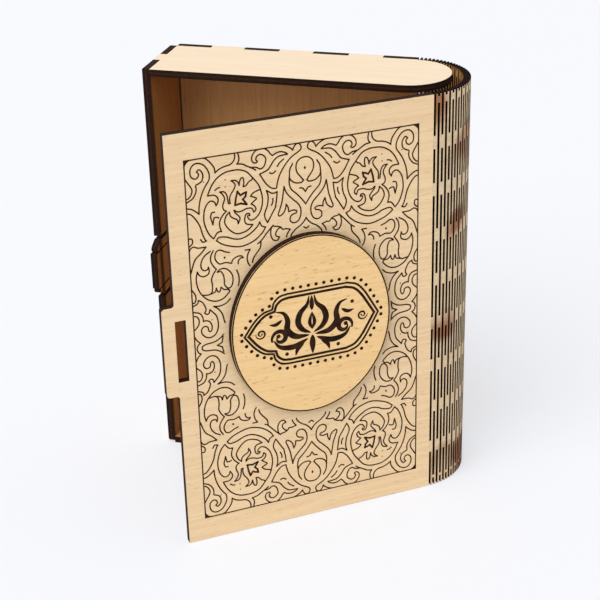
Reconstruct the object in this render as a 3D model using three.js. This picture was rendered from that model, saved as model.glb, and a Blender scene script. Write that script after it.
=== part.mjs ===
// Book-shaped plywood gift box. Millimetres, +Z up, origin at the centre of the bottom plate's
// underside. The spine is at +X, the fore-edge at -X, the back cover at +Y, and the front cover
// stands open by OPEN_ANGLE in front of the tray.
import * as THREE from 'three';

const HEIGHT = 210;
const PLY = 3.6;
const TRAY_DEPTH = 41;
const STRAIGHT = 128;
const FRONT_GAP = 0.5;
const KERF = 0.1;
const OPEN_ANGLE = THREE.MathUtils.degToRad(37);

// Finger joints: each jointed edge is cut in equal segments, and the plates' and the wall's
// fingers fill the listed ones
const EDGE_SEGMENTS = 7;
const FINGERS = [1, 3, 5];
const FINGERS_BACKWARD = [5, 3, 1];
const WALL_TAB_END = 16;
const WALL_TAB_RESTART = 26;
const WALL_CORNER = 3;

// Living hinge: the bent middle of the cover sheet
const LINKS = 4;
const SLITS_PER_LINK = 9;
const SLIT_WIDTH = 0.9;
const FOLD_SLIT = 1.3;
const HINGE_LENGTH = Math.PI * (TRAY_DEPTH + PLY) / 2;
const SLIT_SPACING = HINGE_LENGTH / (LINKS * SLITS_PER_LINK);
const HINGE_RADIUS = HINGE_LENGTH / (Math.PI - OPEN_ANGLE);
const FLOOR_GAP = 0.3;

// Bridges of wood across the slits. They stand in rows that divide the height in equal parts,
// counted from the top, in turn on the even and the odd columns. The odd columns have a thin
// bridge near each edge as well
const BRIDGE_ROWS = 9;
const EVEN_COLUMN_ROWS = [8, 6, 5, 2, 1];
const ODD_COLUMN_ROWS = [7, 4, 3];
const BRIDGE = 6.5;
const LOWER_EDGE_BRIDGE = [4.2, 5.8];
const UPPER_EDGE_BRIDGE = [205.6, 208.8];

// Front cover with its finger tab and slot
const COVER_WIDTH = 129.2;
const TAB_BOTTOM = 82;
const TAB_TOP = 128;
const TAB_REACH = 6.1;
const TAB_CORNER = 1.8;
const TAB_FILLET = 1.4;
const SLOT_WIDTH = 5.1;
const SLOT_BOTTOM = 89.3;
const SLOT_TOP = 120.7;

// Raised oval medallion
const MEDALLION_FROM_HINGE = 64;
const MEDALLION_HEIGHT = 107.5;
const MEDALLION_HALF_WIDTH = 40;
const MEDALLION_HALF_HEIGHT = 46;
const MEDALLION_GAP = 0.25;
const OVAL_STEPS = 96;

// Latch cut in the fore-edge wall: a middle finger between two springy prongs
const LATCH_ROOT = 14;
const LATCH_SLIT = 0.7;
const LATCH_CENTRE = 105;
const FINGER_HALF = 9.7;
const FINGER_REACH = 6;
const PRONG_HEIGHT = 4.6;
const PRONG_REACH = 4.4;
const PRONG_TAPER = 2;
const PRONG_NOSE = 1;
const PRONG_ROOT_GAP = 0.3;
const GROOVE = 2;

const ROUND_END_STEPS = 32;
const CORNER_STEPS = 6;

const ORIGIN_X = (STRAIGHT + TRAY_DEPTH / 2) / 2;
const ORIGIN_Y = (TRAY_DEPTH + PLY) / 2;

const WOOD = 0xe8cba2;
const WOOD_LIGHT = 0xf1d9b5;
const WOOD_GOLDEN = 0xe9c48c;
const WOOD_SPINE = 0xdfc096;

function plywood(color) {
  return new THREE.MeshStandardMaterial({ color, roughness: 0.65, metalness: 0 });
}

function part(name, geometry, color) {
  geometry.translate(-ORIGIN_X, -ORIGIN_Y, 0);
  geometry.computeVertexNormals();
  const mesh = new THREE.Mesh(geometry, plywood(color));
  mesh.name = name;
  return mesh;
}

function shapeFrom(points, holes = []) {
  const shape = new THREE.Shape(points.map(([u, v]) => new THREE.Vector2(u, v)));
  for (const hole of holes) {
    shape.holes.push(new THREE.Path(hole.map(([u, v]) => new THREE.Vector2(u, v))));
  }
  return shape;
}

function extrude(shape) {
  return new THREE.ExtrudeGeometry(shape, { depth: PLY, bevelEnabled: false });
}

function box(u0, v0, u1, v1) {
  return [[u0, v0], [u0, v1], [u1, v1], [u1, v0]];
}

// A corner rounded about (u, v), from one angle to another in degrees
function arc(u, v, radius, from, to, steps) {
  const points = [];
  for (let i = 0; i <= steps; i += 1) {
    const angle = THREE.MathUtils.degToRad(from + (to - from) * i / steps);
    points.push([u + radius * Math.cos(angle), v + radius * Math.sin(angle)]);
  }
  return points;
}

// The cover sheet in plan: s runs from the hinge's start at the back cover, and the sheet is
// flat before it, bent evenly along it and flat again behind it
function sheetPoint(s, outward) {
  const turn = THREE.MathUtils.clamp(s, 0, HINGE_LENGTH) / HINGE_RADIUS;
  const flat = s - turn * HINGE_RADIUS;
  const normalX = Math.sin(turn);
  const normalY = Math.cos(turn);
  const reach = HINGE_RADIUS + outward;
  const centreY = TRAY_DEPTH + PLY / 2 - HINGE_RADIUS;
  return [STRAIGHT + reach * normalX + flat * normalY, centreY + reach * normalY - flat * normalX];
}

// Extrudes a pattern drawn in (s, height) and lays it on the cover sheet, counting its
// thickness inward from the given outer face
function bend(shape, outerFace) {
  const geometry = extrude(shape);
  const position = geometry.attributes.position;
  for (let i = 0; i < position.count; i += 1) {
    const height = position.getY(i);
    const [x, y] = sheetPoint(position.getX(i), outerFace - position.getZ(i));
    position.setXYZ(i, x, y, height);
  }
  return geometry;
}

function segmentEdges(from, to) {
  const edges = [];
  for (let i = 0; i <= EDGE_SEGMENTS; i += 1) {
    edges.push(from + (to - from) * i / EDGE_SEGMENTS);
  }
  return edges;
}

const BACK_EDGES = segmentEdges(PLY, STRAIGHT);
const CORNER_EDGES = segmentEdges(PLY, HEIGHT - PLY);

// D-shaped plate with fingers through the back cover and notches for the wall's tabs
function endPlate(name, z) {
  const radius = TRAY_DEPTH / 2 - FRONT_GAP;
  const points = [[PLY, FRONT_GAP]];
  points.push(...arc(STRAIGHT, TRAY_DEPTH / 2, radius, -90, 90, ROUND_END_STEPS));
  points.push([STRAIGHT - KERF, TRAY_DEPTH]);
  for (const i of FINGERS_BACKWARD) {
    const right = BACK_EDGES[i + 1] - KERF;
    const left = BACK_EDGES[i] + KERF;
    points.push([right, TRAY_DEPTH], [right, TRAY_DEPTH + PLY]);
    points.push([left, TRAY_DEPTH + PLY], [left, TRAY_DEPTH]);
  }
  points.push([PLY, TRAY_DEPTH], [PLY, WALL_TAB_RESTART - KERF]);
  points.push([0, WALL_TAB_RESTART - KERF], [0, WALL_TAB_END + KERF]);
  points.push([PLY, WALL_TAB_END + KERF]);
  const geometry = extrude(shapeFrom(points));
  geometry.translate(0, 0, z);
  return part(name, geometry, WOOD_LIGHT);
}

// Vertical wall across the fore-edge, with the latch's middle finger on its front edge
function foreEdgeWall() {
  const fingerLow = LATCH_CENTRE - FINGER_HALF;
  const fingerHigh = LATCH_CENTRE + FINGER_HALF;
  const notch = LATCH_SLIT + PRONG_HEIGHT + GROOVE;
  const points = arc(FRONT_GAP + WALL_CORNER, WALL_CORNER, WALL_CORNER, 180, 270, CORNER_STEPS);
  points.push([WALL_TAB_END, 0], [WALL_TAB_END, PLY]);
  points.push([WALL_TAB_RESTART, PLY], [WALL_TAB_RESTART, 0], [TRAY_DEPTH, 0]);
  for (const i of FINGERS) {
    const low = CORNER_EDGES[i] + KERF;
    const high = CORNER_EDGES[i + 1] - KERF;
    points.push([TRAY_DEPTH, low], [TRAY_DEPTH + PLY, low]);
    points.push([TRAY_DEPTH + PLY, high], [TRAY_DEPTH, high]);
  }
  points.push([TRAY_DEPTH, HEIGHT], [WALL_TAB_RESTART, HEIGHT], [WALL_TAB_RESTART, HEIGHT - PLY]);
  points.push([WALL_TAB_END, HEIGHT - PLY], [WALL_TAB_END, HEIGHT], [FRONT_GAP, HEIGHT]);
  points.push([FRONT_GAP, fingerHigh + notch], [LATCH_ROOT, fingerHigh + notch]);
  points.push([LATCH_ROOT, fingerHigh], [-FINGER_REACH, fingerHigh]);
  points.push([-FINGER_REACH, fingerLow], [LATCH_ROOT, fingerLow]);
  points.push([LATCH_ROOT, fingerLow - notch], [FRONT_GAP, fingerLow - notch]);
  return part('fore_edge_wall', alongX(shapeFrom(points)), WOOD);
}

// Turns an extrusion drawn in (y, z) so that its thickness runs from the outer face along +X
function alongX(shape) {
  const basis = new THREE.Matrix4().set(0, 0, 1, 0, 1, 0, 0, 0, 0, 1, 0, 0, 0, 0, 0, 1);
  return extrude(shape).applyMatrix4(basis);
}

// One springy prong beside the middle finger, tapered on its outer side towards the tip
function latchProng(name, side) {
  const inner = LATCH_CENTRE + side * (FINGER_HALF + LATCH_SLIT);
  const outer = inner + side * PRONG_HEIGHT;
  const points = [
    [LATCH_ROOT - PRONG_ROOT_GAP, inner],
    [LATCH_ROOT - PRONG_ROOT_GAP, outer],
    [FRONT_GAP, outer],
    [PRONG_NOSE - PRONG_REACH, outer - side * PRONG_TAPER],
    [-PRONG_REACH, outer - side * (PRONG_TAPER + PRONG_NOSE)],
    [-PRONG_REACH, inner],
  ];
  return part(name, alongX(shapeFrom(points)), WOOD);
}

// Flat rear board of the book, up to the first slit of the hinge
function backCover() {
  const left = -STRAIGHT;
  const right = -SLIT_WIDTH / 2;
  const points = [[left + PLY, 0]];
  const tops = [];
  for (const i of FINGERS) {
    const from = BACK_EDGES[i] - STRAIGHT;
    const to = BACK_EDGES[i + 1] - STRAIGHT;
    points.push([from, 0], [from, PLY], [to, PLY], [to, 0]);
    tops.unshift([to, HEIGHT], [to, HEIGHT - PLY], [from, HEIGHT - PLY], [from, HEIGHT]);
  }
  points.push([right, 0], [right, HEIGHT], ...tops, [left + PLY, HEIGHT]);
  points.push([left + PLY, HEIGHT - PLY], [left, HEIGHT - PLY]);
  for (const i of FINGERS_BACKWARD) {
    const low = CORNER_EDGES[i];
    const high = CORNER_EDGES[i + 1];
    points.push([left, high], [left + PLY, high], [left + PLY, low], [left, low]);
  }
  points.push([left, PLY], [left + PLY, PLY]);
  return part('back_cover', bend(shapeFrom(points), PLY / 2), WOOD);
}

// The bridges of one slit column as pairs of heights, from the lowest to the highest
function columnBridges(column) {
  const odd = column % 2 === 1;
  const bridges = (odd ? ODD_COLUMN_ROWS : EVEN_COLUMN_ROWS).map((row) => {
    const middle = HEIGHT * (1 - row / BRIDGE_ROWS);
    return [middle - BRIDGE / 2, middle + BRIDGE / 2];
  });
  return odd ? [LOWER_EDGE_BRIDGE, ...bridges, UPPER_EDGE_BRIDGE] : bridges;
}

// One strip of the hinge between two fold lines, where the slit is wider so that the strips can
// turn. A slit between two bridges is a hole, and the first and last slits run out at the edges
function hingeStrip(index) {
  const low = FLOOR_GAP;
  const high = HEIGHT - FLOOR_GAP;
  const first = index * SLITS_PER_LINK;
  const last = first + SLITS_PER_LINK;
  const start = first * SLIT_SPACING + FOLD_SLIT / 2;
  const end = last * SLIT_SPACING - FOLD_SLIT / 2;
  const lowEdge = [[start, low]];
  const highEdge = [[start, high]];
  const holes = [];
  for (let column = first + 1; column < last; column += 1) {
    const from = column * SLIT_SPACING - SLIT_WIDTH / 2;
    const to = from + SLIT_WIDTH;
    const bridges = columnBridges(column);
    const foot = bridges[0][0];
    const head = bridges[bridges.length - 1][1];
    lowEdge.push([from, low], [from, foot], [to, foot], [to, low]);
    highEdge.push([from, high], [from, head], [to, head], [to, high]);
    for (let i = 1; i < bridges.length; i += 1) {
      holes.push(box(from, bridges[i - 1][1], to, bridges[i][0]));
    }
  }
  const points = [...lowEdge, [end, low], [end, high], ...highEdge.reverse()];
  return part(`hinge_strip_${index + 1}`, bend(shapeFrom(points, holes), PLY / 2), WOOD_SPINE);
}

// Front board with the finger tab on its fore-edge and the latch slot through it
function frontCover() {
  const near = HINGE_LENGTH + SLIT_WIDTH / 2;
  const far = HINGE_LENGTH + COVER_WIDTH;
  const tip = far + TAB_REACH;
  const points = [[near, 0], [far, 0]];
  points.push(...arc(far + TAB_FILLET, TAB_BOTTOM - TAB_FILLET, TAB_FILLET, 180, 90, CORNER_STEPS));
  points.push(...arc(tip - TAB_CORNER, TAB_BOTTOM + TAB_CORNER, TAB_CORNER, -90, 0, CORNER_STEPS));
  points.push(...arc(tip - TAB_CORNER, TAB_TOP - TAB_CORNER, TAB_CORNER, 0, 90, CORNER_STEPS));
  points.push(...arc(far + TAB_FILLET, TAB_TOP + TAB_FILLET, TAB_FILLET, -90, -180, CORNER_STEPS));
  points.push([far, HEIGHT], [near, HEIGHT]);
  const slot = box(far - SLOT_WIDTH, SLOT_BOTTOM, far, SLOT_TOP);
  return part('front_cover', bend(shapeFrom(points, [slot]), PLY / 2), WOOD);
}

// Oval plate glued on the middle of the front cover
function medallion() {
  const centre = HINGE_LENGTH + MEDALLION_FROM_HINGE;
  const points = [];
  for (let i = 0; i < OVAL_STEPS; i += 1) {
    const angle = 2 * Math.PI * i / OVAL_STEPS;
    const u = centre + MEDALLION_HALF_WIDTH * Math.cos(angle);
    const v = MEDALLION_HEIGHT + MEDALLION_HALF_HEIGHT * Math.sin(angle);
    points.push([u, v]);
  }
  const outerFace = PLY / 2 + MEDALLION_GAP + PLY;
  return part('medallion', bend(shapeFrom(points), outerFace), WOOD_GOLDEN);
}

const bookBox = new THREE.Group();
bookBox.name = 'book_box';
bookBox.add(endPlate('bottom_plate', 0));
bookBox.add(endPlate('top_plate', HEIGHT - PLY));
bookBox.add(foreEdgeWall());
bookBox.add(latchProng('latch_prong_upper', 1));
bookBox.add(latchProng('latch_prong_lower', -1));
bookBox.add(backCover());
for (let index = 0; index < LINKS; index += 1) {
  bookBox.add(hingeStrip(index));
}
bookBox.add(frontCover());
bookBox.add(medallion());

export default bookBox;
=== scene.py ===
# %% [markdown]
# # A book-shaped gift box in laser-cut plywood
#
# The object is a small box in the form of a book. A laser cut all of its parts from one
# thickness of birch plywood: two D-shaped plates, a wall, an oval medallion, and one wide cover
# sheet whose middle is slit so finely that it bends like cloth. This lesson dresses the solid
# model of that box: it keeps the solids that are right, builds the slit spine anew, engraves
# the cover with a scroll pattern and gives each surface the finish that a laser leaves.
#
# The first step loads the solids. They stay where they are, and every new piece is built
# around them, in metres.

# %% Load the solid model
import math
import bpy
import numpy as np
from mathutils import Matrix, Vector


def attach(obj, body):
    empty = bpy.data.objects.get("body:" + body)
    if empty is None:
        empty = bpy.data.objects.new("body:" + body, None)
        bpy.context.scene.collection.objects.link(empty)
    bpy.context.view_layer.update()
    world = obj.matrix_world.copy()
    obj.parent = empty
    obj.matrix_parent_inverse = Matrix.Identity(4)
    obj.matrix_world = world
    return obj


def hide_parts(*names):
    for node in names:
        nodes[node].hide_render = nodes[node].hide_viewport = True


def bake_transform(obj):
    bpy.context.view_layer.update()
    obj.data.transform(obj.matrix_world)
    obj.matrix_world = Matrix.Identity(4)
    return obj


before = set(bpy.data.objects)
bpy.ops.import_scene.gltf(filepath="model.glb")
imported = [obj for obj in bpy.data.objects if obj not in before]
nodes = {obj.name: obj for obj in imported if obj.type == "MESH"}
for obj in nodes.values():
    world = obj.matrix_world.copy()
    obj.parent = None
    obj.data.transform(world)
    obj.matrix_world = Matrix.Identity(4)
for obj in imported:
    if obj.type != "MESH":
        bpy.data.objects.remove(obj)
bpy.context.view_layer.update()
print("solids:", ", ".join(sorted(nodes)))

# %% [markdown]
# ## Sizes
#
# The sizes are the box's own, in millimetres. A part of the cover sheet is easiest to think of
# while the sheet still lies flat, so a place on it is given by two numbers: how far along the
# sheet it is, counted from the edge where the back board ends and the spine begins, and how
# high it is. One function then bends that flat plan round the spine.

# %% Sizes and the bent sheet
MM = 0.001
HEIGHT = 210.0
PLY = 3.6
TRAY_DEPTH = 41.0
STRAIGHT = 128.0
OPEN_ANGLE = math.radians(37.0)
SPINE_LENGTH = math.pi * (TRAY_DEPTH + PLY) / 2
SPINE_RADIUS = SPINE_LENGTH / (math.pi - OPEN_ANGLE)
COVER_WIDTH = 129.2
MEDALLION_GAP = 0.25
ORIGIN_X = (STRAIGHT + TRAY_DEPTH / 2) / 2
ORIGIN_Y = (TRAY_DEPTH + PLY) / 2


def on_sheet(along, height, outward):
    """A place on the bent cover sheet in metres; outward is counted from mid-thickness."""
    along, height, outward = (np.asarray(v, float) for v in (along, height, outward))
    turn = np.clip(along, 0, SPINE_LENGTH) / SPINE_RADIUS
    flat = along - turn * SPINE_RADIUS
    reach = SPINE_RADIUS + outward
    x = STRAIGHT + reach * np.sin(turn) + flat * np.cos(turn) - ORIGIN_X
    y = (TRAY_DEPTH + PLY / 2 - SPINE_RADIUS + reach * np.cos(turn)
         - flat * np.sin(turn) - ORIGIN_Y)
    return np.stack(np.broadcast_arrays(x, y, height), -1) * MM


def on_cover(from_edge, height, above):
    """A place on the front board, above its outer face, measured from its fore-edge."""
    return on_sheet(SPINE_LENGTH + COVER_WIDTH - np.asarray(from_edge, float), height,
                    PLY / 2 + above)


print(f"spine {SPINE_LENGTH:.1f} mm long at a radius of {SPINE_RADIUS:.1f} mm")

# %% [markdown]
# ## Colours and shader nodes
#
# Blender's shaders count in linear light, while a colour picker shows sRGB. One function turns
# a hex value from the picker into what a shader needs. A second small helper adds a node, sets
# its values and joins its inputs, so that each material can be read from top to bottom.

# %% Helpers for colour and nodes
def linear(hex_colour):
    """An sRGB colour such as #EFD2A6 as linear red, green, blue and alpha."""
    channels = [int(hex_colour[i:i + 2], 16) / 255 for i in (1, 3, 5)]
    return [c / 12.92 if c <= 0.04045 else ((c + 0.055) / 1.055) ** 2.4 for c in channels] + [1.0]


def add(tree, kind, values=None, links=None, **settings):
    """Adds a node; values and links are given by input name or number."""
    node = tree.nodes.new(kind)
    for name, value in settings.items():
        setattr(node, name, value)
    for key, value in (values or {}).items():
        node.inputs[key].default_value = value
    for key, source in (links or {}).items():
        tree.links.new(source, node.inputs[key])
    return node


def new_material(name):
    """An empty node material and its output node."""
    material = bpy.data.materials.new(name)
    material.use_nodes = True
    tree = material.node_tree
    tree.nodes.clear()
    return material, tree, add(tree, "ShaderNodeOutputMaterial")


print("helpers ready")

# %% [markdown]
# ## Birch plywood, sanded
#
# The boards are bare birch plywood. Birch is pale, cream to light tan, with a quiet grain: fine
# streaks along the board, a few pores and slow changes of tone from rotary cutting. Sanded and
# without varnish, it scatters light and has hardly any gloss, so its roughness is high.
#
# The streaks run across the cover in this box. Noise that is stretched along one direction
# gives them: about 1.5 mm wide and 30 mm long. A shorter noise draws brown flecks 4 mm long,
# and a broad one the slow change of tone. Each board is cut from its own place in the sheet, so
# each material can shift the pattern and turn it along its own board. Heat adds brown patches
# where the beam lingered. Upright lines, such as an inner corner, can also be darkened: partly
# soot and scorch of the cut, partly painted shade that falls there.

# %% The face of the plywood
# Length and width of a grain streak and of a fleck, in metres
FIBRE = (0.030, 0.0015)
FLECK = (0.004, 0.0008)
# How much the dark soot and painted shade along a line hide of the wood, and over what part of its
# reach they are thickest
SOOT_AND_SHADE_COVER = 0.9
SOOT_AND_SHADE_CORE = 0.4


def birch_face(name, pale, tan, brown, turn=0.0, shift=0.0, upright=False, flecks=0.35,
               scorch=0.0, soot_and_shade=()):
    """Sanded birch veneer, with its grain along the turned X axis, or along Z if upright.

    The last argument lists upright lines where soot and painted shade darken the wood: x, y and
    how far the darkening reaches, in millimetres.
    """
    material, tree, output = new_material(name)
    place = add(tree, "ShaderNodeTexCoord").outputs["Object"]
    mapping = add(tree, "ShaderNodeMapping", {"Rotation": (0, 0, turn), "Location": (shift,) * 3},
                  {"Vector": place})

    def stretched(length, width):
        along, across = 1 / length, 1 / width
        scale = (across, across, along) if upright else (along, across, across)
        return add(tree, "ShaderNodeMapping", {"Scale": scale}, {"Vector": mapping.outputs[0]})

    fibres = stretched(*FIBRE)
    streaks = add(tree, "ShaderNodeTexNoise", {"Scale": 1.0, "Detail": 4.0, "Roughness": 0.6},
                  {"Vector": fibres.outputs[0]})
    broad = add(tree, "ShaderNodeTexNoise", {"Scale": 0.18, "Detail": 2.0, "Distortion": 0.6},
                {"Vector": fibres.outputs[0]})
    tone = add(tree, "ShaderNodeValToRGB", links={"Fac": streaks.outputs["Fac"]})
    tone.color_ramp.elements[0].position = 0.26
    tone.color_ramp.elements[0].color = linear(tan)
    tone.color_ramp.elements[1].position = 0.64
    tone.color_ramp.elements[1].color = linear(pale)
    cloud = add(tree, "ShaderNodeMapRange", {"From Min": 0.35, "From Max": 0.75, "To Max": 0.35},
                {"Value": broad.outputs["Fac"]})
    tinted = add(tree, "ShaderNodeMix", {"B": linear(tan)},
                 {"Factor": cloud.outputs[0], "A": tone.outputs[0]}, data_type="RGBA")
    marks = add(tree, "ShaderNodeTexNoise", {"Scale": 1.0, "Detail": 1.0},
                {"Vector": stretched(*FLECK).outputs[0]})
    mark_mask = add(tree, "ShaderNodeMapRange",
                    {"From Min": 0.64, "From Max": 0.80, "To Max": flecks},
                    {"Value": marks.outputs["Fac"]})
    wood = add(tree, "ShaderNodeMix", {"B": linear(brown)},
               {"Factor": mark_mask.outputs[0], "A": tinted.outputs[2]}, data_type="RGBA")
    colour = wood.outputs[2]
    if scorch:
        patches = add(tree, "ShaderNodeTexNoise", {"Scale": 38.0, "Detail": 1.0},
                      {"Vector": place})
        patch_mask = add(tree, "ShaderNodeMapRange",
                         {"From Min": 0.54, "From Max": 0.66, "To Max": scorch},
                         {"Value": patches.outputs["Fac"]})
        colour = add(tree, "ShaderNodeMix", {"B": linear("#8C4A1C")},
                     {"Factor": patch_mask.outputs[0], "A": colour}, data_type="RGBA").outputs[2]
    level = add(tree, "ShaderNodeVectorMath", {1: (1, 1, 0)}, {0: place}, operation="MULTIPLY")
    # Each line darkens the wood near it with dark brown #1C0F08: partly soot and scorch of the cut
    # and the joint, partly painted shade of the corner
    for x, y, reach in soot_and_shade:
        away = add(tree, "ShaderNodeVectorMath", {1: (x * MM, y * MM, 0)},
                   {0: level.outputs[0]}, operation="DISTANCE")
        soot_and_shade_mask = add(tree, "ShaderNodeMapRange",
                        {"From Min": SOOT_AND_SHADE_CORE * reach * MM, "From Max": reach * MM,
                         "To Min": SOOT_AND_SHADE_COVER, "To Max": 0.0}, {"Value": away.outputs[1]})
        colour = add(tree, "ShaderNodeMix", {"B": linear("#1C0F08")},
                     {"Factor": soot_and_shade_mask.outputs[0], "A": colour}, data_type="RGBA").outputs[2]
    relief = add(tree, "ShaderNodeBump", {"Strength": 0.25, "Distance": 0.00012},
                 {"Height": streaks.outputs["Fac"]})
    shader = add(tree, "ShaderNodeBsdfPrincipled",
                 {"Roughness": 0.62, "IOR": 1.5, "Specular IOR Level": 0.3},
                 {"Base Color": colour, "Normal": relief.outputs[0]})
    tree.links.new(shader.outputs[0], output.inputs[0])
    return material


cover_turn = math.pi - OPEN_ANGLE
back_tones = ("#EBCFA6", "#DFBD90", "#A97F50")
smoke_and_shade_tones = ("#BE8D55", "#AC7B46", "#74451A")
cover_face = birch_face("birch_ply_cover", "#EFD2A6", "#E4C195", "#A97F50", turn=cover_turn)
plate_face = birch_face("birch_ply_plates", "#F0DCC1", "#EBD3B2", "#C09A6C", shift=0.31,
                        flecks=0.2)
back_face = birch_face("birch_ply_back", *back_tones, shift=0.57)
wall_face = birch_face("birch_ply_wall", *back_tones, shift=0.57, upright=True)
medallion_face = birch_face("birch_ply_medallion", "#F3CE94", "#EABF83", "#98642C",
                            turn=cover_turn, shift=0.83, flecks=0.6)
# The inner faces are painted browner than the outer ones: partly smoke stain, partly painted
# shade of the box's shadowed inside, on the wall, the back and the plates' inner sides. They are
# darkest along two upright lines of the wall, at its front edge and against the back
inner_x = PLY - ORIGIN_X
inner_face = birch_face("birch_ply_inner_side", *smoke_and_shade_tones, shift=0.44, upright=True,
                        soot_and_shade=((inner_x, -ORIGIN_Y, 3.2), (inner_x, TRAY_DEPTH - ORIGIN_Y, 0.9)))
# The underside of the plates gets the same brown, partly smoke stain and partly painted shade
plate_inner_face = birch_face("birch_ply_inner_side_of_plates", *smoke_and_shade_tones, shift=0.66)
print("wood faces:", len([m for m in bpy.data.materials if m.name.startswith("birch")]))

# %% [markdown]
# ## The burnt edge
#
# A laser chars what it cuts. The edge of each part is dark brown, almost black, and the three
# layers of the plywood still show in it as faint stripes: the two lines of glue are drawn
# darkest, and the middle layer a little lighter than the outer ones. The char is matt. The
# stripes need to know how deep in the sheet a point lies, so each board's material gets the
# direction of its thickness.

# %% The cut edge
def burnt_edge(name, thickness_axis, offset):
    """Charred plywood edge; layers are counted along thickness_axis, from offset in metres."""
    material, tree, output = new_material(name)
    place = add(tree, "ShaderNodeTexCoord").outputs["Object"]
    depth = add(tree, "ShaderNodeVectorMath", {1: thickness_axis}, {0: place},
                operation="DOT_PRODUCT")
    layer = add(tree, "ShaderNodeMapRange",
                {"From Min": offset, "From Max": offset + PLY * MM}, {"Value": depth.outputs[1]})
    stripes = add(tree, "ShaderNodeValToRGB", links={"Fac": layer.outputs[0]})
    ramp = stripes.color_ramp
    ramp.elements[0].color = linear("#26150D")
    ramp.elements[1].color = linear("#2A180F")
    for position, colour in ((0.27, "#26150D"), (0.34, "#150B07"), (0.40, "#3A2315"),
                             (0.60, "#3A2315"), (0.66, "#150B07"), (0.73, "#28170E")):
        ramp.elements.new(position).color = linear(colour)
    soot_and_shade = add(tree, "ShaderNodeTexNoise", {"Scale": 900.0, "Detail": 3.0}, {"Vector": place})
    soot_and_shade_mask = add(tree, "ShaderNodeMapRange", {"From Min": 0.35, "From Max": 0.7, "To Max": 0.6},
                    {"Value": soot_and_shade.outputs["Fac"]})
    char = add(tree, "ShaderNodeMix", {"B": linear("#120A06")},
               {"Factor": soot_and_shade_mask.outputs[0], "A": stripes.outputs[0]}, data_type="RGBA")
    relief = add(tree, "ShaderNodeBump", {"Strength": 0.3, "Distance": 0.0001},
                 {"Height": soot_and_shade.outputs["Fac"]})
    shader = add(tree, "ShaderNodeBsdfPrincipled",
                 {"Roughness": 0.85, "IOR": 1.5, "Specular IOR Level": 0.1},
                 {"Base Color": char.outputs[2], "Normal": relief.outputs[0]})
    tree.links.new(shader.outputs[0], output.inputs[0])
    return material


cover_normal = Vector((math.sin(cover_turn), math.cos(cover_turn), 0))
cover_inner = Vector(on_cover(0, 0, -PLY))
UP, BACK, RIGHT = Vector((0, 0, 1)), Vector((0, 1, 0)), Vector((1, 0, 0))
plate_edge = {
    "bottom_plate": burnt_edge("burnt_edge_bottom_plate", UP, 0.0),
    "top_plate": burnt_edge("burnt_edge_top_plate", UP, (HEIGHT - PLY) * MM)}
back_edge = burnt_edge("burnt_edge_back", BACK, (TRAY_DEPTH - ORIGIN_Y) * MM)
wall_edge = burnt_edge("burnt_edge_wall", RIGHT, -ORIGIN_X * MM)
cover_edge = burnt_edge("burnt_edge_cover", cover_normal, cover_inner.dot(cover_normal))
medallion_edge = burnt_edge("burnt_edge_medallion", cover_normal,
                            cover_inner.dot(cover_normal) + (PLY + MEDALLION_GAP) * MM)
print("burnt edges made")

# %% [markdown]
# ## Dress the flat boards
#
# The flat boards of the solid model are already right, so they stay and only get finishes.
# Each has three: the sanded outer face, the browner inner face, whose brown is partly smoke stain
# and partly painted shade, and the burnt edge wherever a face of the solid points across the
# sheet instead of out of it. A narrow bevel takes the razor sharpness off the edges, as sanding
# does. It is burnt too, because the beam always singes the rim of its cut, and that draws a fine
# dark outline round each board.

# %% Finishes on the solids
# Where each finish stands in a piece's list of materials
OUTER, CUT, INNER, RIM = range(4)
# How straight a face has to point out of the sheet, or into it, to be no cut edge
FACING = 0.7


def dress(name, face_material, edge_material, outward, bevel=0.15, behind=inner_face):
    """Finishes on a flat solid, told apart by how each face lies to the outward direction."""
    solid = nodes[name]
    solid.data.materials.clear()
    for material in (face_material, edge_material, behind):
        solid.data.materials.append(material)
    edges = 0
    for polygon in solid.data.polygons:
        lean = polygon.normal.dot(outward)
        polygon.material_index = OUTER if lean > FACING else INNER if lean < -FACING else CUT
        polygon.use_smooth = False
        edges += polygon.material_index == CUT
    # The solids come as loose triangles, and a bevel needs faces that share their corners
    solid.modifiers.new("joined corners", "WELD").merge_threshold = 0.001 * MM
    softened = solid.modifiers.new("sanded edge", "BEVEL")
    softened.width = bevel * MM
    softened.segments = 2
    softened.material = CUT
    softened.limit_method = "ANGLE"
    softened.angle_limit = math.radians(40)
    print(f"{name}: {len(solid.data.polygons)} faces, {edges} of them burnt")


dress("bottom_plate", plate_face, plate_edge["bottom_plate"], -UP, behind=plate_inner_face)
dress("top_plate", plate_face, plate_edge["top_plate"], UP, behind=plate_inner_face)
dress("back_cover", back_face, back_edge, BACK)
for piece in ("fore_edge_wall", "latch_prong_upper", "latch_prong_lower"):
    dress(piece, wall_face, wall_edge, -RIGHT)
dress("front_cover", cover_face, cover_edge, cover_normal, bevel=0.35)
dress("medallion", medallion_face, medallion_edge, cover_normal, bevel=0.35)

# %% [markdown]
# ## The living hinge
#
# The spine is the part that makes this box a book. Columns of slits turn the stiff sheet into
# narrow strips joined by short bridges. The bridges stand in eight rows, a ninth of the height
# apart: one or two rows on the even columns, then one or two on the odd columns, and so on down
# the spine. When the sheet bends, each strip twists a little, and the thirty-six strips together
# make half a circle when the book is closed.
#
# The slits are deep and charred black. The sheet's rims are brown like any other cut edge, but
# without its stripes.
#
# The solid model holds four stiff strips there. They are replaced by a finer mesh: the flat
# plan is divided into cells along every edge of every slit, the cells that are slit are left
# out, and the rest is bent round the spine. The mesh is built in five pieces, one for each fold
# of the solid model.

# %% Slits and strips
LINKS = 4
SLITS_PER_LINK = 9
COLUMNS = LINKS * SLITS_PER_LINK
# A little more than the 0.9 mm of the solids, as the photo shows it
SLIT_WIDTH = 1.12
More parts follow.
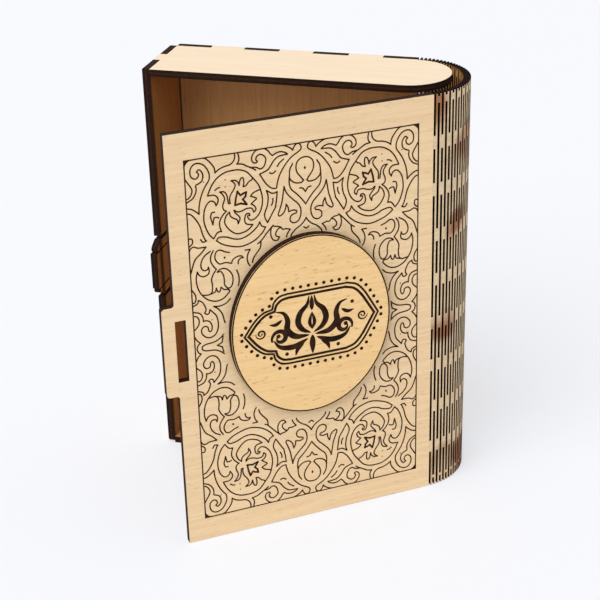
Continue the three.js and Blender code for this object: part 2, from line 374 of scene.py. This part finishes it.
# Both flat boards end this far from the spine's ends, and the mesh of the spine starts there
SEAM = 0.45
BRIDGE = 6.5
EVEN_COLUMN_ROWS = (8, 6, 5, 2, 1)
ODD_COLUMN_ROWS = (7, 4, 3)
ROW_SPACING = HEIGHT / 9
LOWER_EDGE_BRIDGE = (4.2, 5.8)
UPPER_EDGE_BRIDGE = (205.6, 208.8)
SPACING = SPINE_LENGTH / COLUMNS


def mesh_piece(name, points, faces, materials, material_of_face, smooth=False):
    """A new mesh object with its finishes."""
    mesh = bpy.data.meshes.new(name)
    mesh.from_pydata([tuple(p) for p in points], [], faces)
    for material in materials:
        mesh.materials.append(material)
    mesh.polygons.foreach_set("material_index", material_of_face)
    mesh.polygons.foreach_set("use_smooth", [smooth] * len(mesh.polygons))
    mesh.update()
    piece = bpy.data.objects.new(name, mesh)
    bpy.context.collection.objects.link(piece)
    return piece


def bridges_of(column):
    """The bridges across one slit column as pairs of heights; odd columns have edge bridges."""
    rows = ODD_COLUMN_ROWS if column % 2 else EVEN_COLUMN_ROWS
    middles = [HEIGHT - row * ROW_SPACING for row in rows]
    bridges = [(middle - BRIDGE / 2, middle + BRIDGE / 2) for middle in middles]
    return bridges + [LOWER_EDGE_BRIDGE, UPPER_EDGE_BRIDGE] if column % 2 else bridges


def is_wood(along, height):
    """Whether a place on the flat plan is wood and not slit."""
    column = round(along / SPACING)
    if abs(along - column * SPACING) > SLIT_WIDTH / 2:
        return True
    return any(low < height < high for low, high in bridges_of(column))


def lattice(name, start, end, materials):
    """The slit sheet from one place along the spine to another, bent and given its thickness."""
    columns = range(round(start / SPACING) - 1, round(end / SPACING) + 2)
    cuts = [c * SPACING + side * SLIT_WIDTH / 2 for c in columns for side in (-1, 1)]
    grid_s = sorted({start, end, *(c for c in cuts if start < c < end)})
    heights = {h for c in (0, 1) for span in bridges_of(c) for h in span}
    grid_z = sorted({0.0, HEIGHT} | heights)
    wood = np.array([[is_wood((a + b) / 2, (c + d) / 2) for c, d in zip(grid_z, grid_z[1:])]
                     for a, b in zip(grid_s, grid_s[1:])])
    s, z = np.meshgrid(grid_s, grid_z, indexing="ij")
    points = np.concatenate([on_sheet(s, z, side * PLY / 2).reshape(-1, 3) for side in (1, -1)])
    rows, layer = len(grid_z), len(grid_s) * len(grid_z)
    faces, finish = [], []

    def corner(i, j, inner):
        return inner * layer + i * rows + j

    for i, j in zip(*np.nonzero(wood)):
        ring = [(i, j), (i + 1, j), (i + 1, j + 1), (i, j + 1)]
        faces.append([corner(a, b, 0) for a, b in ring][::-1])
        faces.append([corner(a, b, 1) for a, b in ring])
        finish += [OUTER, INNER]
        sides = (((i, j - 1), 0), ((i + 1, j), 1), ((i, j + 1), 2), ((i - 1, j), 3))
        for (a, b), k in sides:
            inside = 0 <= a < wood.shape[0] and 0 <= b < wood.shape[1]
            seam = not 0 <= a < wood.shape[0]
            if (inside and not wood[a, b]) or (not inside and not seam):
                p, q = ring[k], ring[(k + 1) % 4]
                faces.append([corner(*q, 0), corner(*p, 0), corner(*p, 1), corner(*q, 1)][::-1])
                finish.append(CUT if inside else RIM)
    return mesh_piece(name, points, faces, materials, finish)


spine_face = birch_face("birch_ply_spine", "#E6CDA8", "#D3B48C", "#9C7040", shift=0.12,
                        turn=cover_turn, scorch=0.85)
# The bent sheet has no single direction of thickness. Layers counted from a metre below the
# floor all lie beyond the last one, so no stripes show on its rims
rim_edge = burnt_edge("burnt_edge_spine_rims", UP, -1.0)
slit_wall, tree, output = new_material("charred_slit_walls")
char_shader = add(tree, "ShaderNodeBsdfPrincipled",
                  {"Base Color": linear("#0D0806"), "Roughness": 0.9, "Specular IOR Level": 0.05})
tree.links.new(char_shader.outputs[0], output.inputs[0])
link = SPINE_LENGTH / LINKS
seams = [-SEAM] + [(i + 0.5) * link for i in range(LINKS)] + [SPINE_LENGTH + SEAM]
for k in range(LINKS + 1):
    piece = lattice(f"slit_spine_{k + 1}", seams[k], seams[k + 1],
                    [spine_face, slit_wall, inner_face, rim_edge])
    on_sheet(max(seams[k], 0), HEIGHT / 2, 0)
    on_sheet(min(seams[k + 1], SPINE_LENGTH), HEIGHT / 2, 0)
    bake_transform(piece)
    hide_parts(f"hinge_strip_{min(k + 1, LINKS)}")
    print(f"{piece.name}: {len(piece.data.polygons)} faces")

# %% [markdown]
# ## Engraved lines
#
# The cover carries a scroll ornament that the laser has drawn as a thin burnt line. The line is
# the outline of the vines and leaves, so the vines themselves stay bare wood. It is nearly
# symmetrical, so only one quarter is drawn, and its mirror images fill the frame.
#
# A line is written as a text of places in millimetres, counted from the frame's upper corner at
# the fore-edge. The line runs smoothly through them, and a stroke "/" marks a sharp turn. A
# Catmull-Rom curve does that: between two places it is a cubic whose direction at each place
# follows its two neighbours, so no handles are needed.

# %% Smooth lines, strips and discs
ENGRAVED_HEIGHT = 0.03
# Stretches that meet at a sharp turn overlap there. Each shape lies at the next of nine heights
# this far apart, so that two that follow each other never coincide
LAYERS = 9
LAYER_STEP = 0.002
LINE = 0.35
# A strip runs on past its ends by this share of its half width, so that sharp turns close
OVERRUN = 0.7


def smooth_lines(text, step=0.6):
    """The smooth stretches of one line, each as an array of places about step apart."""
    stretches, last = [], []
    for part in text.split("/"):
        places = last + [[float(v) for v in pair.split(",")] for pair in part.split()]
        last = [places[-1]]
        p = np.array(places)
        if len(p) < 2:
            continue
        closed = len(p) > 3 and np.allclose(p[0], p[-1]) and "/" not in text
        before, after = (p[-2], p[1]) if closed else (2 * p[0] - p[1], 2 * p[-1] - p[-2])
        p = np.vstack([before, p, after])
        line = []
        for a, b, c, d in zip(p, p[1:], p[2:], p[3:]):
            steps = max(2, int(np.ceil(np.linalg.norm(c - b) / step)))
            t = np.arange(steps)[:, None] / steps
            line.append(0.5 * (2 * b + (c - a) * t + (2 * a - 5 * b + 4 * c - d) * t ** 2
                               + (3 * b - a - 3 * c + d) * t ** 3))
        stretches.append(np.vstack(line + [p[-2:-1]]))
    return stretches


def strip(line, half_width):
    """A flat strip along a line; its half width may change from place to place."""
    line = np.asarray(line, float)
    along = np.gradient(line, axis=0)
    along /= np.maximum(np.linalg.norm(along, axis=1, keepdims=True), 1e-9)
    half = np.broadcast_to(half_width, len(line))[:, None]
    line = line.copy()
    line[0] -= along[0] * half[0] * OVERRUN
    line[-1] += along[-1] * half[-1] * OVERRUN
    side = np.stack([-along[:, 1], along[:, 0]], 1) * half
    count = len(line)
    faces = [(i, i + 1, count + i + 1, count + i) for i in range(count - 1)]
    return np.vstack([line + side, line - side]), faces


def disc(centre, radius, steps=14):
    """A flat round dot."""
    angle = np.arange(steps) * 2 * np.pi / steps
    ring = np.stack([np.cos(angle), np.sin(angle)], 1) * radius + centre
    return ring, [tuple(range(steps))]


def polygon(*places):
    """A flat shape with these corners."""
    return np.array(places, float), [tuple(range(len(places)))]


def mirrored(shape, axis, about):
    """The mirror image of a shape across the line where one coordinate equals about."""
    places, faces = shape
    places = places.copy()
    places[:, axis] = 2 * about - places[:, axis]
    return places, [face[::-1] for face in faces]


def engrave(name, shapes, place, material, body):
    """Joins flat shapes into one piece that lies on a board and moves with it."""
    points, faces, start = [], [], 0
    for number, (places, shape_faces) in enumerate(shapes):
        points.append(place(places, ENGRAVED_HEIGHT + LAYER_STEP * (number % LAYERS)))
        faces += [[i + start for i in face] for face in shape_faces]
        start += len(places)
    piece = mesh_piece(name, np.vstack(points), faces, [material], [0] * len(faces))
    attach(piece, body)
    print(f"{name}: {len(shapes)} shapes, {len(faces)} faces")


print(f"cover lines {2 * LINE} mm wide")

# %% [markdown]
# ## What a laser line looks like
#
# The beam leaves a shallow groove with a charred floor. It is dark brown rather than black, a
# little uneven where the beam slowed down, and quite matt.

# %% The engraved finish
def burnt_line(name, dark, light):
    """Charred engraving, uneven over a few millimetres."""
    material, tree, output = new_material(name)
    place = add(tree, "ShaderNodeTexCoord").outputs["Object"]
    uneven = add(tree, "ShaderNodeTexNoise", {"Scale": 260.0, "Detail": 2.0}, {"Vector": place})
    tone = add(tree, "ShaderNodeValToRGB", links={"Fac": uneven.outputs["Fac"]})
    tone.color_ramp.elements[0].position = 0.35
    tone.color_ramp.elements[0].color = linear(dark)
    tone.color_ramp.elements[1].position = 0.68
    tone.color_ramp.elements[1].color = linear(light)
    shader = add(tree, "ShaderNodeBsdfPrincipled", {"Roughness": 0.9, "Specular IOR Level": 0.1},
                 {"Base Color": tone.outputs[0]})
    tree.links.new(shader.outputs[0], output.inputs[0])
    return material


cover_line = burnt_line("laser_line_cover", "#1F1008", "#4A2E18")
medallion_line = burnt_line("laser_line_medallion", "#1E110A", "#3A2415")
print("engraved finishes:", cover_line.name, medallion_line.name)

# %% [markdown]
# ## The scrolls on the cover
#
# The frame is 112 mm wide and 185 mm high. A great scroll fills each corner, with a star-shaped
# flower in its eye. Below it a tulip stands in a roundel, and small scrolls follow down the side
# of the medallion.

# %% Scroll ornament
FRAME_FROM_EDGE = 8.8
FRAME_FROM_TOP = 13.0
FRAME_WIDTH = 112.3
FRAME_HEIGHT = 184.7
DRAWN_WIDTH = 57.9
QUARTER = (
    # corner spiral and the leaf cells along the fore-edge
    "5.7,5.9 6.8,5 8,6.1 8.6,8 8,10.4 6.2,11.6 5,12.1 5.1,14 4.6,16 3,18.2 .9,19.3 0,19.7",
    "5.7,5.9 6.6,7.1 6,8.6 4.6,9.1 3,7.9 2.6,5.7 3.2,3.6 4.8,2.2 6.9,2.1 9.1,3.2 10.7,5.4 11.6,7.9"
    " 11.4,10.4 10.1,12.3 8.4,15 6.9,18.6 6,22.5 5.8,25.9 / 4.4,24.5 2.3,23 0,22.4",
    "0,8.4 1.2,10.4 2.6,12.7 3.1,14.5 2.3,16.6 .9,17.9 0,18",
    "0,24.8 1.9,25.5 4.1,28.2 5.9,31.8 6.9,35.7 8,38.6 8.6,39.2 / 6.9,39.6 5.8,38.1",
    "0,37 1.6,37.1 1.8,39.3 0,40.9",
    "0,43.4 .7,41.8 2.3,41.1 4.4,42 8.2,42.1 / 5.9,44.6 3,47 1.6,49.6 .5,53 0,54.2",
    # cells above the great scroll
    "9,0 10.5,.6 12.6,2.9 14.1,5.4 14.4,7.7 / 16.2,6.4 18.7,5.5 21.6,5 23.4,3.6 24.1,1.8 24,0",
    "25.5,0 26,1.8 25.9,3.9 25,5.2 / 27.6,5.7 29.8,7 32.3,8.4 33.9,9.5",
    "31.8,7.9 34.1,8.2 36.2,9.3 38,8.2 38.9,5.7 38.5,3.9 36.6,2.5 34.8,3 34.1,4.5 34.8,5.5"
    " / 34.4,6.1 33,5.9 32.1,4.5 32.5,2.3 34.1,.5 35.5,0",
    "38.4,0 40.1,1.3 41.2,2.9 42.2,3.9 / 44.1,3 46.2,2.7 48.4,3.4 49.6,4.4 / 47.3,4.5 44.8,4.9"
    " 42.6,6.6 41,8.8 39.8,10.2 37.6,11.1 35.7,11.7 / 36.9,13.9 38.4,16.4 40.5,18.7 42.3,19.6"
    " 43.7,19.6 / 44.1,17.5 45.1,14.3 46.9,11.1 49.4,7.9 51.9,5.7 54.4,4.3 56,3.2 56.3,1.8"
    " 55.5,.4 54.1,.2 52.8,1.4 52.2,2.9 / 50.9,1.6 48.7,.4 47.3,0",
    "40.5,11.8 41.9,12.4 43.5,11.4", "44.4,9.4 45.5,7.9 47.6,6.4",
    # great scroll: upper cell with the flame leaf
    "10.3,17.9 10.9,16.4 12.6,13.2 15.1,10.4 18.7,8.4 22.3,7.9 25.9,8.1 29.4,9.6 32.3,12.9"
    " / 31.6,13.9 30.5,14.2 29.6,15.2 28.7,16.1 27.5,16.3 / 27.9,14.3 27.6,12.1 26.6,12.2"
    " 25.9,13.6 25.6,15.4 / 25.1,13.9 23.7,12.7 21.8,12.6 / 23,13.6 23.7,15 22.8,17.1 21.2,19.3"
    " 20.7,21.4 20.9,23.2 / 20.1,23.2 19.8,21.4 19.4,18.9 18.2,17.3 16.2,17 / 17.6,18.6 18.3,20.7"
    " 17.3,23.6 17.6,25.7 18.9,26.6 / 17.3,28 15.7,30.4 15.3,32.9 16,35.9 / 14.1,36.2 12.1,38.8"
    " / 10.1,36.4 8.5,32.5 7.9,28.9 8.4,24.6 9.8,21.8 11.6,20.6 13.4,21.4 14.1,23.2 / 15.1,21.4"
    " 15,19.6 13.4,18.1 10.3,17.9",
    "13.2,26.1 11.8,26.3 11.2,28.2 11.6,30 12.1,32 / 12.8,28.8 / 13.9,28.7 15.1,29.2",
    "13.9,15.9 15.1,15.1 16.2,14.9",
    # great scroll: lower cell with the small spiral
    "32.3,12.9 34.8,16.4 36,19.8 36.6,23.6 36.2,27.1 34.8,30.4 32.6,32.5 30.5,32.9 29.1,31.4"
    " 29.2,30.4 30.1,30.6 / 30,29.7 28.7,29.5 27.8,30.7 27.6,33.2 28.7,34.6 31.4,35.2 / 29.4,37.1"
    " 26.6,38.2 23.4,38.3 20.5,36.4 18.4,33.6 17.8,31.4 18.7,28.9 20.3,27.3 / 20.7,29.3 22.3,30.7"
    " 23.9,31.6 24.3,33.6 / 25.3,31.4 24.8,30 23,28 22.6,26.8 / 24.4,27.9 26.6,27.7 28.7,27"
    " 31.2,27.3 32.1,29.3 / 33.2,28.2 32.6,26.4 31,25.2 / 32.6,23.9 33.7,22.9 30.9,21.4"
    " / 32.3,20 35.6,18.9",
    # crescent below the great scroll and leaf beside it
    "13.4,40 14.8,38.6 18.4,39.1 21.6,40.5 24.8,41.1 28,40.4 31.2,38.6 33.7,36.4 34.8,34.5"
    " / 35.7,36.6 37.6,37.5 / 35.9,40 32.3,42.9 28,44.5 24.1,44.8 19.4,43.6 15.9,42 13.4,40",
    "38.7,20 39.4,22.9 38.9,27.1 37.5,30.7 37.5,32.9 38.7,35.5 / 40.1,33.2 41.6,30.7 42.8,28.9"
    " / 43.5,25 43.9,21.4 / 41.6,21.8 38.7,20",
    "41.7,24.3 41.6,26 40.9,27.5",
    # vine beside the centre motif
    "47.4,19.5 46.8,22.9 46.2,26.4 45,30 44.1,32.5 44.8,33.4 46.6,32.3 47.6,30.7 48.2,28.2"
    " / 49.1,30 49.3,32 / 51.6,31.6 53.4,32.3 53,33.2 / 50.9,33.8 50,35 50.1,36.8 51.9,37.9"
    " 54.1,37 55.3,34.3 55.3,31.4 54.1,28.9 51.6,26.4 49.1,23.6 47.9,21.4 47.4,19.5",
    "51.9,9.3 50.5,11.8 50.1,15.4 / 50.9,17.1 53,18.6 55.9,18.9 57.1,18 / 55.9,16.4 54.1,13.9"
    " 53.5,11.4 54.1,8.9 55.9,7.3 57.9,6.9",
    "50.1,15.4 50,18.6 50.9,21.4 53.4,23.9 55.9,26.8 57.9,29.6",
    "55.1,21.4 56.6,21.8 57.9,23.6",
    "57.9,36.3 56.9,37.9 55.1,39.6 52.6,41.1 50.5,43.2 50,44.6", "56.6,40.7 57.9,41.6",
    "40.7,37.9 38,40.7 35.1,43.9 33.4,45", "35.1,43.9 34.6,47.1 32.3,50 30.9,52.1 30.5,53.8",
    "41.4,37.3 40.3,38.9 40.1,42.1 41.2,44.5 43.2,45 44.4,43.6 / 42.8,42.9 42.5,41.4 43.7,39.6"
    " 45.1,38.9 / 43.6,38.2 41.7,37.9",
    "45.1,38.9 46.2,40.2 47.3,40 49.8,40.7 / 48.4,42.5 47.8,44.1",
    # tulip roundel
    "11.6,44.5 10.3,46.8 10.1,49.6 11.2,52.1 12.6,53.9 / 11,56.1 10,58.6 10.3,61.4 10,64.6"
    " 9.1,65.6",
    "10.1,44.6 7.6,46.1 5.9,48.2 5.2,50.7 5.7,52.7 7.1,53.6 8.5,53 8.8,52.1 / 9.1,54.3 8.4,55.7"
    " 6.2,56.4 4.3,55.5 3.3,53.6 / 2.6,56.8 2.8,60 3.7,63.2 5.5,66.1 8,68.4 11.6,69.7 15.1,69.1"
    " 17.6,67.1 18.6,65.7 17.6,64.8 / 15.9,64.6 14.4,63.2 / 13.9,64.9 12.9,65.4 12.1,63.2"
    " / 11.4,65 9.1,65.7 7.6,65.9 5.3,65.5",
    "13,55.4 14.8,55.5 15.9,57.5 16.2,60 16.2,62.1 17.3,63.9 18.7,64.3 20,62.9 20.5,60 20,57.5"
    " 18.5,55.4 16.6,54.2 14.4,54.3 13,55.4",
    "19.4,46.8 17.3,46.1 14.8,44.8 13,45.4 12.2,47.5 12.6,49.6 14.4,51.6 17.3,51.4 20.1,52.3"
    " / 21,50.5 23,49.5 25.1,49.5 26,50.6 / 24.8,50.5 23.5,51.8 23.4,53.2",
    "27.1,47.1 29.6,47.1 / 28.5,48.9 27.9,51.4 28.4,53.9 29.2,55.2",
    "22.5,56.1 23.3,58.6 23.5,61.4 23,64",
    # side scrolls beside the medallion
    "0,61.8 1.6,64.6 1.9,66.8 1.2,68.6 0,68.6",
    "0,70.4 2.5,69.3 3,67.7 / 4.8,68.9 6,71.1 6.5,73.2 5.7,74.6 / 6.6,75.4 7.8,75.2 8.4,73.4"
    " / 9.8,75 11.4,77.1 12.1,80.4 11.9,83.6 10.5,86.4 8,87.6 5.5,86.8 3.8,84.6 3.9,82.5 5.3,81.4"
    " 6.9,82.1 7.2,83.8 8,84.6 8.9,83.4 8.9,81.4 8,79.5 6.2,78.6 4.9,78.8 / 4.6,76.4 3.2,74.3"
    " 0,73.2",
    "0,75.4 1.7,75.7 2.8,77.9 2.3,80.4 .3,82.5",
    "18.7,69.8 16.6,71.6 13.4,72.5 10.3,72.1 / 12.6,73.9 14.4,76.8 15.1,80 15.5,81.4",
    "0,85.7 1.2,87.9 2.8,89.6 / 1.6,90.4 .9,92.4",
    "14.4,87.3 12.6,88.9 9.8,90.2 5.5,90.7 3.7,91.5 3.5,92.4", "14.1,88.4 13.5,91.2 / 11,92.4",
)
STAR = ("24.6,18.2 / 23.7,21.4 / 23.2,24.5 / 25.9,24.1 / 28.9,25 / 27.1,22.3 / 28.4,21.1"
        " / 28.9,19.1 / 27.3,19.6 / 26,20.2 / 24.6,18.2")
quarter = [strip(line, LINE) for text in QUARTER for line in smooth_lines(text)]
quarter += [strip(line, 1.4 * LINE) for line in smooth_lines(STAR)]
# A filled corner, a small diamond on the middle line, and dots
quarter.append(polygon((0, 0), (3.6, 0.1), (1.9, 0.7), (0.7, 1.9), (0.1, 3.6)))
quarter.append(polygon((57.3, 12.1), (57.9, 11.1), (58.5, 12.1), (57.9, 13.1)))
quarter += [disc(c, 0.32) for c in ((18.9, 15.0), (19.0, 11.7), (8.7, 11.1), (9.1, 78.7))]
quarter.append(disc((16.9, 48.9), 0.55))
middle = (FRAME_WIDTH / 2, FRAME_HEIGHT / 2)
# The quarter was drawn a little wider than half of the frame
quarter = [(places * (middle[0] / DRAWN_WIDTH, 1.0), faces) for places, faces in quarter]
half = quarter + [mirrored(shape, 0, middle[0]) for shape in quarter]
scrolls = half + [mirrored(shape, 1, middle[1]) for shape in half]
corners = np.array([(0, 0), (FRAME_WIDTH, 0), (FRAME_WIDTH, FRAME_HEIGHT), (0, FRAME_HEIGHT)])
scrolls += [strip(np.array([a, b]), 0.9 * LINE)
            for a, b in zip(corners, np.roll(corners, -1, 0))]


def on_cover_face(places, above):
    """Places of the frame, counted from its upper corner, on the front board."""
    return on_cover(FRAME_FROM_EDGE + places[:, 0], HEIGHT - FRAME_FROM_TOP - places[:, 1], above)


engrave("engraved_scrolls", scrolls, on_cover_face, cover_line, "front_cover")

# %% [markdown]
# ## The medallion
#
# The medallion holds a cartouche: a double line, pointed at both ends, with dots round it and a
# small spiral inside each point. A tulip between two scrolls fills its middle, in strokes that
# swell and taper, and darker than the lines of the cover. The cartouche is written down as its
# upper half and the tulip as its right half, and mirror images complete them.

# %% Cartouche and tulip
MEDALLION_FROM_HINGE = 64.0
MEDALLION_HEIGHT = 107.5
MEDALLION_HALF_WIDTH = 40.0
MEDALLION_HALF_HEIGHT = 46.0
MEDALLION_TOP = PLY + MEDALLION_GAP
RIM_INSET = 0.6
RIM_STEPS = 160
# Half the width and half the height of the cartouche, and how far it stands above the middle
CARTOUCHE = np.array([33.6, 18.1])
CARTOUCHE_RISE = 0.4
OUTER_LINE = 0.52
INNER_LINE = 0.64
DOT = 0.88
UPPER = ("33.6,0 / 30.1,6.3 26.6,12.2 22.8,16.4 18,18.1 / 3,18.1 -12,18.1"
         " / -15.8,17.4 -18.6,14.9 -19.6,11.6 / -24.4,10.3 -28.9,6.4 -33.6,0")


def beside(places, outward):
    """The cartouche line moved outward, by stretching it about its middle."""
    return places * (1 + outward / CARTOUCHE)


def evenly(line, spacing):
    """Places on a line at equal steps, with the first half a step from its start."""
    run = np.concatenate([[0], np.cumsum(np.linalg.norm(np.diff(line, axis=0), axis=1))])
    at = (np.arange(round(run[-1] / spacing)) + 0.5) * run[-1] / round(run[-1] / spacing)
    return np.stack([np.interp(at, run, line[:, k]) for k in (0, 1)], 1)


def scroll(centre, radius, turns, start, width, spin=1):
    """A spiral strip that starts thin, swells and ends in a round eye."""
    t = np.linspace(0, 1, int(40 * turns))
    angle = math.radians(start) + spin * 2 * np.pi * turns * t
    reach = radius * (1 - t) + width * t
    line = np.stack([np.cos(angle), np.sin(angle)], 1) * reach[:, None] + centre
    return [strip(line, width * (0.35 + 0.65 * np.sin(np.pi * np.minimum(t * 1.2, 1)) ** 0.8)),
            disc(line[-1], width * 0.9)]


def stroke(text, width, thin=0.15):
    """A smooth stroke that starts and ends thin and swells to its half width between."""
    line = np.vstack(smooth_lines(text))
    t = np.linspace(0, 1, len(line))
    return strip(line, width * (thin + (1 - thin) * np.sin(np.pi * t ** 0.8) ** 0.9))


upper = smooth_lines(UPPER)
outer, inner = (np.vstack(upper), [beside(line, -2.0) for line in upper])
shapes = [strip(line, OUTER_LINE) for line in upper]
shapes += [strip(line, INNER_LINE) for line in inner]
shapes += [disc(place, DOT) for place in evenly(beside(outer, 2.4), 3.8)]
shapes += [mirrored(shape, 1, 0.0) for shape in shapes]
for x, spin in ((-25.5, 1), (25.5, -1)):
    shapes += scroll((x, 0.0), 2.6, 1.5, 90 + spin * 90, 0.5, spin)
tulip = [stroke("1,-4 5,-1.6 7,2.4 5.8,7 2.4,10.8 1.3,15", 1.5),
         stroke("1.8,-5.2 8.4,-4.6 12.4,-0.6 12.2,4.4 14,8.4 17.6,9.8", 1.6),
         stroke("0,-2.2 1.2,1.5 0,6.6", 0.9), stroke("2.4,-7 9.4,-9.8 16,-8.8 19.4,-4.8", 1.45),
         stroke("4.4,-8.8 7.4,-11.2 8.6,-14.6", 1.15), stroke("15,5.2 18,3.4 21.2,3.8", 0.95),
         disc((20.4, 8.0), 0.95), disc((13, -13), 0.95)]
tulip += scroll((16.2, -3.8), 4.2, 1.2, -20, 1.2)
shapes += tulip + [mirrored(shape, 0, 0.0) for shape in tulip]
shapes.append(stroke("0,7.6 0,11.5 0,15", 1.15))
shapes.append(stroke("0,-5.6 0,-9.6 0,-15", 1.5))
# The cut also left a thin scorched line round the medallion's own rim
turns = np.linspace(0, 2 * np.pi, RIM_STEPS + 1)
rim = np.stack([(MEDALLION_HALF_WIDTH - RIM_INSET) * np.cos(turns),
                (MEDALLION_HALF_HEIGHT - RIM_INSET) * np.sin(turns)], 1) - (0, CARTOUCHE_RISE)
shapes.append(strip(rim, LINE))


def on_medallion_face(places, above):
    """Places counted from the middle of the cartouche, on the medallion."""
    from_edge = COVER_WIDTH - MEDALLION_FROM_HINGE + places[:, 0]
    height = MEDALLION_HEIGHT + CARTOUCHE_RISE + places[:, 1]
    return on_cover(from_edge, height, MEDALLION_TOP + above)


engrave("engraved_cartouche", shapes, on_medallion_face, medallion_line, "front_cover")

# %% [markdown]
# ## Floor, light and camera
#
# The box stands in a white studio: pale paper that runs out of sight, one huge soft light high up
# in front on the left, and an even glow from all sides. The light is a sun lamp as wide as a
# softbox looks, because it then lights the paper evenly to the horizon. A weak lamp in front
# fills the shadows. Camera rays see paper and surroundings near white, while scattered light
# finds them at a plain level, so the background is bright without any extra light on the wood,
# and the paper keeps the box's faint shadow.
#
# The camera looks down on the box by 26 degrees, with a long lens, so that upright lines converge
# only a little.

# %% Studio
FLOOR_REACH = 6.0
# The paper lies just under the box, so that their faces don't coincide
FLOOR_HEIGHT = -0.0002


def seen_directly(tree):
    """1 for rays from the camera, off gloss and through glass, and 0 for scattered light."""
    rays = add(tree, "ShaderNodeLightPath").outputs
    unglassed = add(tree, "ShaderNodeMath", None,
                    {0: rays["Is Camera Ray"], 1: rays["Is Glossy Ray"]}, operation="MAXIMUM")
    direct = add(tree, "ShaderNodeMath", None,
                 {0: unglassed.outputs[0], 1: rays["Is Transmission Ray"]}, operation="MAXIMUM")
    return direct.outputs[0]


paper, tree, output = new_material("white_studio_paper")
lit = add(tree, "ShaderNodeBsdfDiffuse", {"Color": linear("#E4E6EA")})
shaded = add(tree, "ShaderNodeBsdfDiffuse", {"Color": linear("#A1A3A7")})
lift = add(tree, "ShaderNodeEmission", {"Color": linear("#F7F7F9"), "Strength": 0.58})
shown = add(tree, "ShaderNodeAddShader", None, {0: shaded.outputs[0], 1: lift.outputs[0]})
surface = add(tree, "ShaderNodeMixShader", None,
              {0: seen_directly(tree), 1: lit.outputs[0], 2: shown.outputs[0]})
tree.links.new(surface.outputs[0], output.inputs[0])
floor = mesh_piece("floor", [(x * FLOOR_REACH, y * FLOOR_REACH, FLOOR_HEIGHT)
                             for x, y in ((-1, -1), (1, -1), (1, 1), (-1, 1))],
                   [[0, 1, 2, 3]], [paper], [0])

world = bpy.data.worlds.new("studio_glow")
bpy.context.scene.world = world
world.use_nodes = True
tree = world.node_tree
tree.nodes.clear()
glow = add(tree, "ShaderNodeBackground", {"Color": linear("#FAFBFF"), "Strength": 0.58})
backdrop = add(tree, "ShaderNodeBackground", {"Color": linear("#F8F9FD"), "Strength": 1.0})
surroundings = add(tree, "ShaderNodeMixShader", None,
                   {0: seen_directly(tree), 1: glow.outputs[0], 2: backdrop.outputs[0]})
tree.links.new(surroundings.outputs[0], add(tree, "ShaderNodeOutputWorld").inputs[0])


def lamp(kind, name, place, aim, energy, **settings):
    """A lamp at a place in metres, turned to what it lights."""
    data = bpy.data.lights.new(name, kind)
    data.energy = energy
    for setting, value in settings.items():
        setattr(data, setting, value)
    holder = bpy.data.objects.new(name, data)
    holder.location = place
    holder.rotation_euler = (Vector(aim) - Vector(place)).to_track_quat("-Z", "Y").to_euler()
    bpy.context.collection.objects.link(holder)


lamp("SUN", "high_soft_light", (-0.25, -0.75, 1.1), (0, 0, 0.1), 2.2, angle=math.radians(50))
lamp("AREA", "front_fill", (-0.9, -1.3, 0.7), (0, 0, 0.1), 3.0, size=0.9)

scene = bpy.context.scene
scene.view_settings.view_transform = "Standard"
camera_data = bpy.data.cameras.new("camera")
camera_data.sensor_width = 36.0
camera_data.lens = 91.56
camera = bpy.data.objects.new("camera", camera_data)
camera.location = (0.1972, -0.6854, 0.4315)
azimuth, elevation, roll = (math.radians(a) for a in (16.37, 26.02, -1.59))
back = Vector((math.sin(azimuth) * math.cos(elevation),
               -math.cos(azimuth) * math.cos(elevation), math.sin(elevation)))
right = Vector((math.cos(azimuth), math.sin(azimuth), 0))
up = back.cross(right)
tilted_right = right * math.cos(roll) + up * math.sin(roll)
tilted_up = up * math.cos(roll) - right * math.sin(roll)
camera.rotation_euler = Matrix((tilted_right, tilted_up, back)).transposed().to_euler()
bpy.context.collection.objects.link(camera)
scene.camera = camera
print("camera at", [round(v, 3) for v in camera.location])
